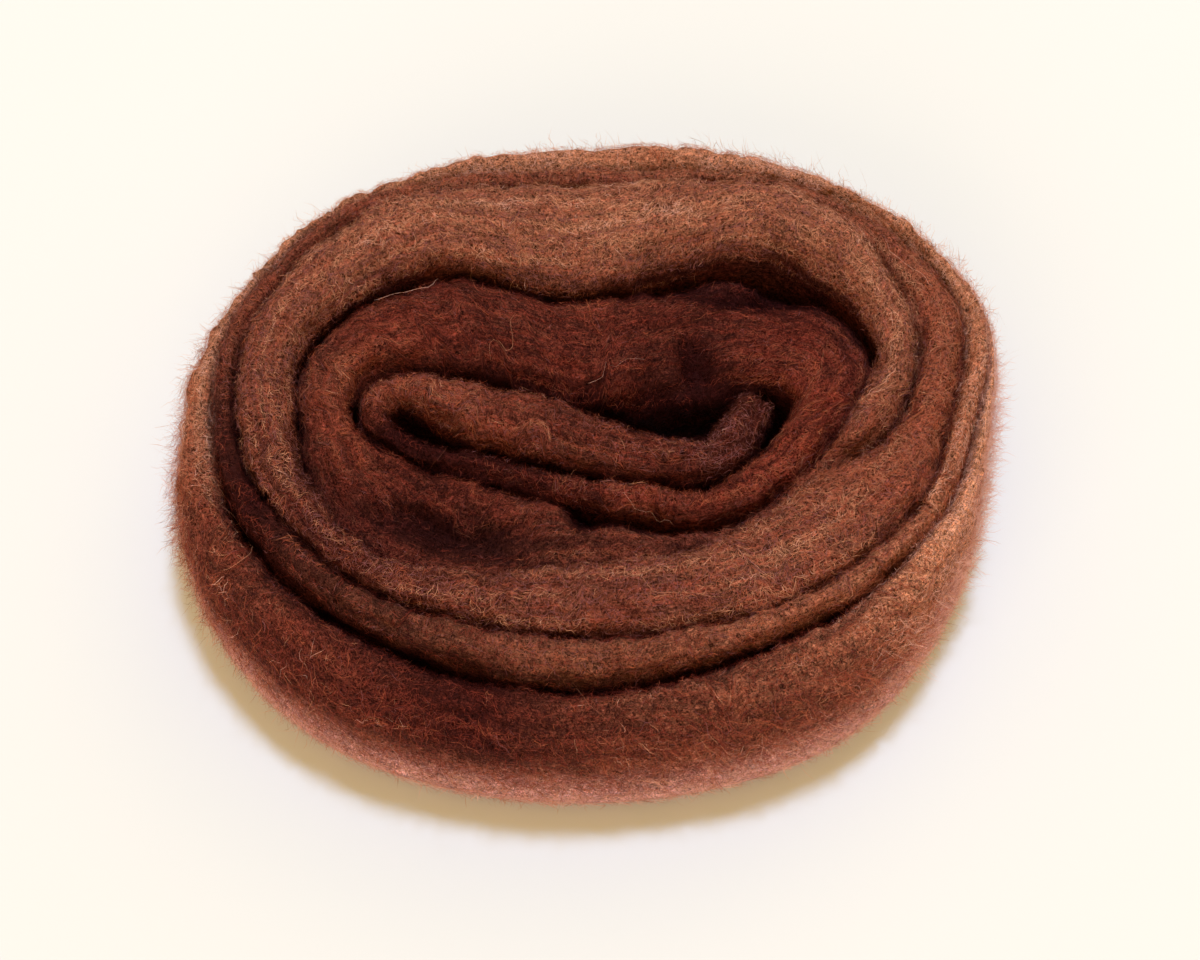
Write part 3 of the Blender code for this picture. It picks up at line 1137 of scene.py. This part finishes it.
@dataclass
class WoundBody:
    """The closed skin of the wound strand; map_rows and map_pad lay it out for the bake."""

    strand: WoundStrand
    finish: WoolFinish = WoolFinish()
    map_rows: int = 5
    map_pad: float = 0.004

    def build(self) -> bpy.types.Object:
        """Builds the skin and dresses it.

        Returns:
            The new piece.
        """
        stations, points = self.strand.grid.shape[:2]
        closed = [*range(points), 0]
        skin = bmesh.new()
        strand_map = skin.loops.layers.uv.new(STRAND_MAP)
        layers = {tone: skin.verts.layers.float.new(tone.value) for tone in Tone}
        bmesh.ops.create_grid(
            skin, x_segments=points, y_segments=stations - 1, size=0.5, calc_uvs=True
        )
        places = self.strand.grid[:, closed].reshape(-1, 3)
        for vert, place in zip(skin.verts, places, strict=True):
            vert.co = place
        for tone, shares in self.strand.tones().items():
            for vert, share in zip(skin.verts, shares[:, closed].ravel(), strict=True):
                vert[layers[tone]] = share
        self._map(skin, strand_map)
        bmesh.ops.remove_doubles(skin, verts=skin.verts, dist=WELD)
        ends = [edge for edge in skin.edges if edge.is_boundary]
        bmesh.ops.holes_fill(skin, edges=ends, sides=points + 2)
        bmesh.ops.triangulate(skin, faces=[face for face in skin.faces if len(face.verts) > 4])
        bmesh.ops.recalc_face_normals(skin, faces=skin.faces)
        mesh = bpy.data.meshes.new("wound_body")
        skin.to_mesh(mesh)
        skin.free()
        mesh.shade_smooth()
        mesh.materials.append(self.finish.material())
        return add_object("wound_body", mesh)

    def _map(self, skin: bmesh.types.BMesh, strand_map: bmesh.types.BMLayerItem) -> None:
        """Lays the strand out in rows for the bake, and sets its own map to metres.

        Args:
            skin: The skin, whose map runs from 0 to 1 across the strand and then along it.
            strand_map: That map.
        """
        bake = skin.loops.layers.uv.new(BAKE_MAP)
        girth = self.strand.girth * MM
        pad = self.map_pad
        for face in skin.faces:
            first = min(loop[strand_map].uv.y for loop in face.loops)
            row = min(int(first * self.map_rows), self.map_rows - 1)
            for loop in face.loops:
                across, along = loop[strand_map].uv
                in_row = along * self.map_rows - row
                loop[bake].uv = (
                    pad + in_row * (1 - 3 * pad),
                    (row + pad + across * (1 - 2 * pad)) / self.map_rows,
                )
                loop[strand_map].uv = (along * self.strand.length, across * girth)


@dataclass
class FibreCoat:
    """Thin ribbons of single fibres over the strand, as one joined mesh.

    Lengths are in millimetres, and a pair gives the least and the most. lie is how far a fibre's
    middle is off the skin, and rise how far its ends stand up from there, as a spread; a rooted
    fibre stands up at one end only. stray is the spread of its heading off the strand's, in
    degrees, crimp the height of its waves, wave their length, bend the spread of its bow and twist
    that of its roll. Under low_wall it lies closer to the skin, down to least_lift, and it keeps
    floor_air off the floor. outside_only keeps the coat to the cake's wall, past outer_from of the
    way round a section.

    alike is how much of a fibre's shade it shares with its streak of streak_size. A coat can also
    be made lighter than its blend, which on the halo is painted rim glow. contrast is how widely
    the shades are spread, and run_over how far two blends run into each other, in bearings.
    """

    name: str
    strand: WoundStrand
    count: int
    seed: int
    length: Pair
    width: Pair
    lie: Pair
    rise: float
    stray: float
    crimp: float
    segments: int
    wave: Pair
    blend: Blend | None = None
    outside_only: bool = False
    rooted: bool = False
    alike: float = 0.68
    dye_and_painted_lightness: float = 0.0
    bend: float = 0.25
    twist: float = 0.5
    root_curve: float = 1.5
    low_wall: float = 9.0
    least_lift: float = 0.3
    floor_air: float = 0.1
    least_spacing: float = 0.15
    outer_from: float = 0.42
    streak_seed: int = 31
    streak_waves: int = 24
    streak_size: Pair = (30.0, 5.0)
    contrast: float = 0.8
    run_over: float = 0.4

    def build(self) -> bpy.types.Object:
        """Builds the fibres and dresses them.

        Returns:
            The new piece.
        """
        chance = np.random.default_rng(self.seed)
        start_along, start_across = self._scatter(chance)
        paths, normals = self._paths(chance, start_along, start_across)
        verts, faces = self._ribbons(chance, paths, normals)
        mesh = bpy.data.meshes.new(self.name)
        mesh.vertices.add(len(verts))
        mesh.vertices.foreach_set("co", verts.astype(np.float32).ravel())
        mesh.loops.add(faces.size)
        mesh.loops.foreach_set("vertex_index", faces.astype(np.int32).ravel())
        corners = np.tile([3, *[4] * (self.segments - 2), 3], self.count)
        mesh.polygons.add(len(corners))
        firsts = np.concatenate([[0], np.cumsum(corners)[:-1]]).astype(np.int32)
        mesh.polygons.foreach_set("loop_start", firsts)
        mesh.update(calc_edges=True)
        for shade in Shade:
            mesh.materials.append(shade.finish().material())
        picked = self._pick(chance, start_along, start_across)
        mesh.polygons.foreach_set("material_index", np.repeat(picked, self.segments))
        mesh.shade_smooth()
        return add_object(self.name, mesh)

    def _scatter(self, chance: np.random.Generator) -> tuple[np.ndarray, np.ndarray]:
        """Picks where the fibres' middles are, evenly over what is in the open.

        Args:
            chance: The source of chance.

        Returns:
            The places along and across the strand, counted in grid steps.
        """
        points = self.strand.across
        weight = self.strand.spacing() * self.strand.shown
        if self.outside_only:
            outer_half = np.arange(points) > points * self.outer_from
            weight = weight * self.strand.columns["opened"][:, None] * outer_half
        weight = weight[:-1].ravel()
        weight /= weight.sum()
        cells = chance.choice(len(weight), size=self.count, p=weight)
        row, column = np.divmod(cells, points)
        return row + chance.random(self.count), column + chance.random(self.count)

    def _paths(
        self, chance: np.random.Generator, along: np.ndarray, across: np.ndarray
    ) -> tuple[np.ndarray, np.ndarray]:
        """The middle line of every fibre.

        Args:
            chance: The source of chance.
            along: Where each fibre's middle is along the strand.
            across: Where it is across it.

        Returns:
            The points of each line and the skin's outward direction there.
        """
        strand, count = self.strand, self.count
        spacing = strand.sample(along, across, strand.spacing() / MM)
        length = chance.uniform(*self.length, count)
        heading = np.radians(chance.normal(0.0, self.stray, count))[:, None]
        t = np.linspace(-0.5, 0.5, self.segments + 1)[None, :]
        wave = chance.uniform(*self.wave, count)[:, None]
        phase = chance.uniform(0, TAU, (2, count))[..., None]
        walk = t * length[:, None]
        bend = chance.normal(0.0, self.bend, count)[:, None] * (walk**2) / length[:, None]
        sway = self.crimp * np.sin(TAU * walk / wave + phase[0]) + bend
        step_along = walk * np.cos(heading) - sway * np.sin(heading)
        step_across = walk * np.sin(heading) + sway * np.cos(heading)
        station = strand.length / MM / (len(strand.grid) - 1)
        spacing = np.maximum(spacing, self.least_spacing)[:, None]
        line_along = along[:, None] + step_along / station
        line_across = across[:, None] + step_across / spacing
        places = strand.sample(line_along, line_across, strand.grid)
        normals = unit(strand.sample(line_along, line_across, strand.normals))
        lie = chance.uniform(*self.lie, count)[:, None]
        lie = lie + 0.5 * self.crimp * (1 + np.sin(TAU * walk / wave + phase[1]))
        tips = np.abs(chance.normal(0.0, self.rise, (2, count)))[..., None]
        if self.rooted:
            lift = (tips[0] + tips[1]) * (t + 0.5) ** self.root_curve
        else:
            lift = tips[0] * np.maximum(2 * t, 0) ** 2 + tips[1] * np.maximum(-2 * t, 0) ** 2
        off_floor = np.clip(places[..., 2] / MM / self.low_wall, self.least_lift, 1.0)
        paths = places + normals * ((lie + lift) * off_floor * MM)[..., None]
        paths[..., 2] = np.maximum(paths[..., 2], self.floor_air * MM)
        return paths, normals

    def _ribbons(
        self, chance: np.random.Generator, paths: np.ndarray, normals: np.ndarray
    ) -> tuple[np.ndarray, np.ndarray]:
        """Gives each line its width, down to a point at both ends.

        Args:
            chance: The source of chance.
            paths: The fibres' middle lines.
            normals: The outward directions along them.

        Returns:
            The points of all the ribbons, and the points round each of their faces in turn.
        """
        count, points = paths.shape[:2]
        side = unit(np.cross(normals, np.gradient(paths, axis=1)))
        twist = chance.normal(0.0, self.twist, (count, 1, 1))
        side = side * np.cos(twist) + normals * np.sin(twist)
        reach = side * (chance.uniform(*self.width, (count, 1, 1)) * MM / 2)
        left = (paths - reach)[:, 1:-1]
        right = (paths + reach)[:, 1:-1]
        pairs = np.stack([left, right], axis=2).reshape(count, -1, 3)
        verts = np.concatenate([paths[:, :1], pairs, paths[:, -1:]], axis=1)
        last = 2 * (points - 2) + 1
        ring = [0, 1, 2]
        for near in range(1, last - 2, 2):
            ring += [near, near + 2, near + 3, near + 1]
        ring += [last - 2, last, last - 1]
        faces = np.arange(count)[:, None] * (last + 1) + np.array(ring)[None, :]
        return verts.reshape(-1, 3), faces.ravel()

    def _pick(
        self, chance: np.random.Generator, along: np.ndarray, across: np.ndarray
    ) -> np.ndarray:
        """Picks each fibre's shade, with neighbours on the same streak often alike.

        Args:
            chance: The source of chance.
            along: Where each fibre's middle is along the strand.
            across: Where it is across it.

        Returns:
            The number of each fibre's shade.
        """
        strand = self.strand
        walked = along * strand.length / MM / len(strand.grid)
        aside = across * strand.girth / strand.across
        places = np.stack([walked, aside], axis=-1)
        streak = drift(self.streak_seed, self.streak_waves, places, self.streak_size)
        luck = chance.normal(0.0, 1.0, self.count)
        mixed = self.alike * streak + math.sqrt(1 - self.alike**2) * luck
        # The fibres are lighter or darker by their stretch's dye and by painted light and shade.
        dye_and_painted_light = strand.sample(along, across, strand.dye_and_painted_light)
        rank = 0.5 * (1 + np.tanh(mixed * self.contrast + dye_and_painted_light + self.dye_and_painted_lightness))
        wound = np.interp(along, np.arange(len(strand.grid)), strand.columns["wound"])
        wound = wound + chance.normal(0.0, self.run_over, self.count)
        picked = np.zeros(self.count, dtype=np.int32)
        for stretch in STRETCHES:
            chosen = wound >= stretch.start
            bounds = (self.blend or stretch.blend).bounds()
            picked[chosen] = np.searchsorted(bounds, rank[chosen] * bounds[-1] * BELOW_ONE)
        return picked


def fibre_coats(strand: WoundStrand) -> list[FibreCoat]:
    """Lists the coats of fibres, from those that lie flat to the loose ones.

    Args:
        strand: The strand that they lie on.

    Returns:
        The coats, not yet built.
    """
    lying = [
        FibreCoat(
            name=f"lying_fibres_{number}",
            strand=strand,
            count=34000,
            seed=10 + number,
            length=(1.0, 3.0),
            width=(0.026, 0.05),
            lie=(-0.1, 0.4),
            rise=0.25,
            stray=55.0,
            crimp=0.17,
            segments=3,
            wave=(0.8, 2.0),
        )
        for number in (1, 2)
    ]
    fine = [
        FibreCoat(
            name=f"fine_fibres_{number}",
            strand=strand,
            count=66000,
            seed=20 + number,
            length=(0.5, 1.5),
            width=(0.035, 0.065),
            lie=(-0.05, 0.5),
            rise=0.2,
            stray=65.0,
            crimp=0.16,
            segments=2,
            wave=(0.9, 1.8),
            rooted=number == 3,
        )
        for number in (1, 2, 3)
    ]
    halo = FibreCoat(
        name="halo",
        strand=strand,
        count=26000,
        seed=35,
        length=(1.2, 3.6),
        width=(0.03, 0.05),
        lie=(0.0, 0.9),
        rise=0.9,
        stray=70.0,
        crimp=0.32,
        segments=4,
        wave=(1.0, 2.6),
        alike=0.2,
        # Painted rim glow: the halo's fibres are made lighter than their blend.
        dye_and_painted_lightness=0.3,
        outside_only=True,
        rooted=True,
    )
    stray = FibreCoat(
        name="stray_hairs",
        strand=strand,
        count=90,
        seed=41,
        length=(4.0, 13.0),
        width=(0.02, 0.032),
        lie=(0.4, 0.9),
        rise=0.5,
        stray=50.0,
        crimp=0.6,
        segments=14,
        wave=(6.0, 14.0),
        blend=PALE_HAIR_AND_RIM_LIGHT_BLEND,
    )
    return [*lying, *fine, halo, stray]


@dataclass(frozen=True)
class Lamp:
    """A soft square lamp; its place and its side are in metres, and its power is in watts."""

    name: str
    place: Triple
    side: float
    power: float
    colour: Triple

    def hang(self, target: Triple) -> None:
        """Hangs the lamp.

        Args:
            target: The place that it faces.
        """
        data = bpy.data.lights.new(self.name, "AREA")
        data.size = self.side
        data.energy = self.power
        data.color = self.colour
        lamp = add_object(self.name, data)
        aim = Vector(target) - Vector(self.place)
        lamp.location = self.place
        lamp.rotation_euler = aim.to_track_quat("-Z", "Y").to_euler()
        lamp.visible_camera = False


@dataclass
class Studio:
    """The pale floor, the soft light and the camera, in metres, degrees and lens millimetres.

    The key is cool and hangs above and a little behind. The surround is pale as far up as the
    first of wall_top, and warm from the second on, each the upward part of a direction.
    """

    target: Triple = (0.001957, -0.003472, 0.014)
    distance: float = 0.400
    elevation: float = 60.0
    lens: float = 84.5
    sensor: float = 36.0
    clip: Pair = (0.01, 20.0)
    floor_half: float = 3.0
    floor: PlainFinish = PlainFinish("pale_floor", (0.65, 0.67, 0.785), roughness=0.8, specular=0.1)
    surround: float = 0.88
    wall: Triple = (1.0, 0.93, 0.84)
    ceiling: Triple = (1.0, 0.70, 0.16)
    wall_top: Pair = (0.20, 0.34)
    lamps: tuple[Lamp, ...] = (
        Lamp("key", (0.08, 0.21, 1.48), side=0.13, power=17.6, colour=(0.67, 0.86, 1.05)),
        Lamp("front", (-0.4, -1.25, 0.55), side=1.2, power=9.5, colour=(1.0, 0.80, 0.62)),
        Lamp("back", (0.5, 1.1, 0.8), side=1.0, power=2.5, colour=(1.0, 0.80, 0.56)),
    )

    def build(self) -> None:
        """Builds all of it."""
        self._lay_floor()
        self._light()
        self._set_camera()
        bpy.context.scene.view_settings.view_transform = "Standard"

    def _lay_floor(self) -> None:
        """Lays the floor."""
        sheet = bmesh.new()
        bmesh.ops.create_grid(sheet, x_segments=2, y_segments=2, size=self.floor_half)
        mesh = bpy.data.meshes.new("floor")
        sheet.to_mesh(mesh)
        sheet.free()
        mesh.materials.append(self.floor.material())
        floor = add_object("floor", mesh)

    def _light(self) -> None:
        """Lights the warm surround and hangs the lamps."""
        world = bpy.data.worlds.new("surround")
        world.use_nodes = True
        wiring = Wiring(world.node_tree)
        way = wiring.tree.nodes.new("ShaderNodeTexCoord")
        parts = wiring.tree.nodes.new("ShaderNodeSeparateXYZ")
        wiring.feed(parts, {"Vector": way.outputs["Object"]})
        stops = list(zip(self.wall_top, (self.wall, self.ceiling)))
        colour = wiring.ramp(parts.outputs["Z"], stops)
        glow = {"Color": colour, "Strength": self.surround}
        wiring.feed(wiring.tree.nodes["Background"], glow)
        bpy.context.scene.world = world
        for lamp in self.lamps:
            lamp.hang(self.target)

    def _set_camera(self) -> None:
        """Sets the camera up at the photograph's angle."""
        data = bpy.data.cameras.new("camera")
        data.lens = self.lens
        data.sensor_width = self.sensor
        data.clip_start, data.clip_end = self.clip
        camera = add_object("camera", data)
        angle = math.radians(self.elevation)
        back = Vector((0.0, -math.cos(angle), math.sin(angle)))
        camera.location = Vector(self.target) + back * self.distance
        camera.rotation_euler = (math.radians(90.0) - angle, 0.0, 0.0)
        bpy.context.scene.camera = camera


def report(piece: bpy.types.Object) -> None:
    """Logs what a piece holds."""
    piece.data.calc_loop_triangles()
    LOG.info("%s: %d triangles", piece.name, len(piece.data.loop_triangles))


def main() -> None:
    """Builds the roving and its studio."""
    logging.basicConfig(level=logging.INFO, format="%(message)s")
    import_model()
    Studio().build()
    strand = WoundStrand()
    strand.press(DENTS)
    strand.ruffle(seed=4, folds=9, height=0.7)
    strand.tuft(seed=21, waves=40, size=7.0, height=0.22)
    strand.tuft(seed=22, waves=60, size=3.0, height=0.07)
    body = WoundBody(strand).build()
    pieces = [body, *(coat.build() for coat in fibre_coats(strand))]
    for piece in pieces:
        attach(piece, "root")
        report(piece)
    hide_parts(CAD_NODE)


if __name__ == "__main__":
    main()
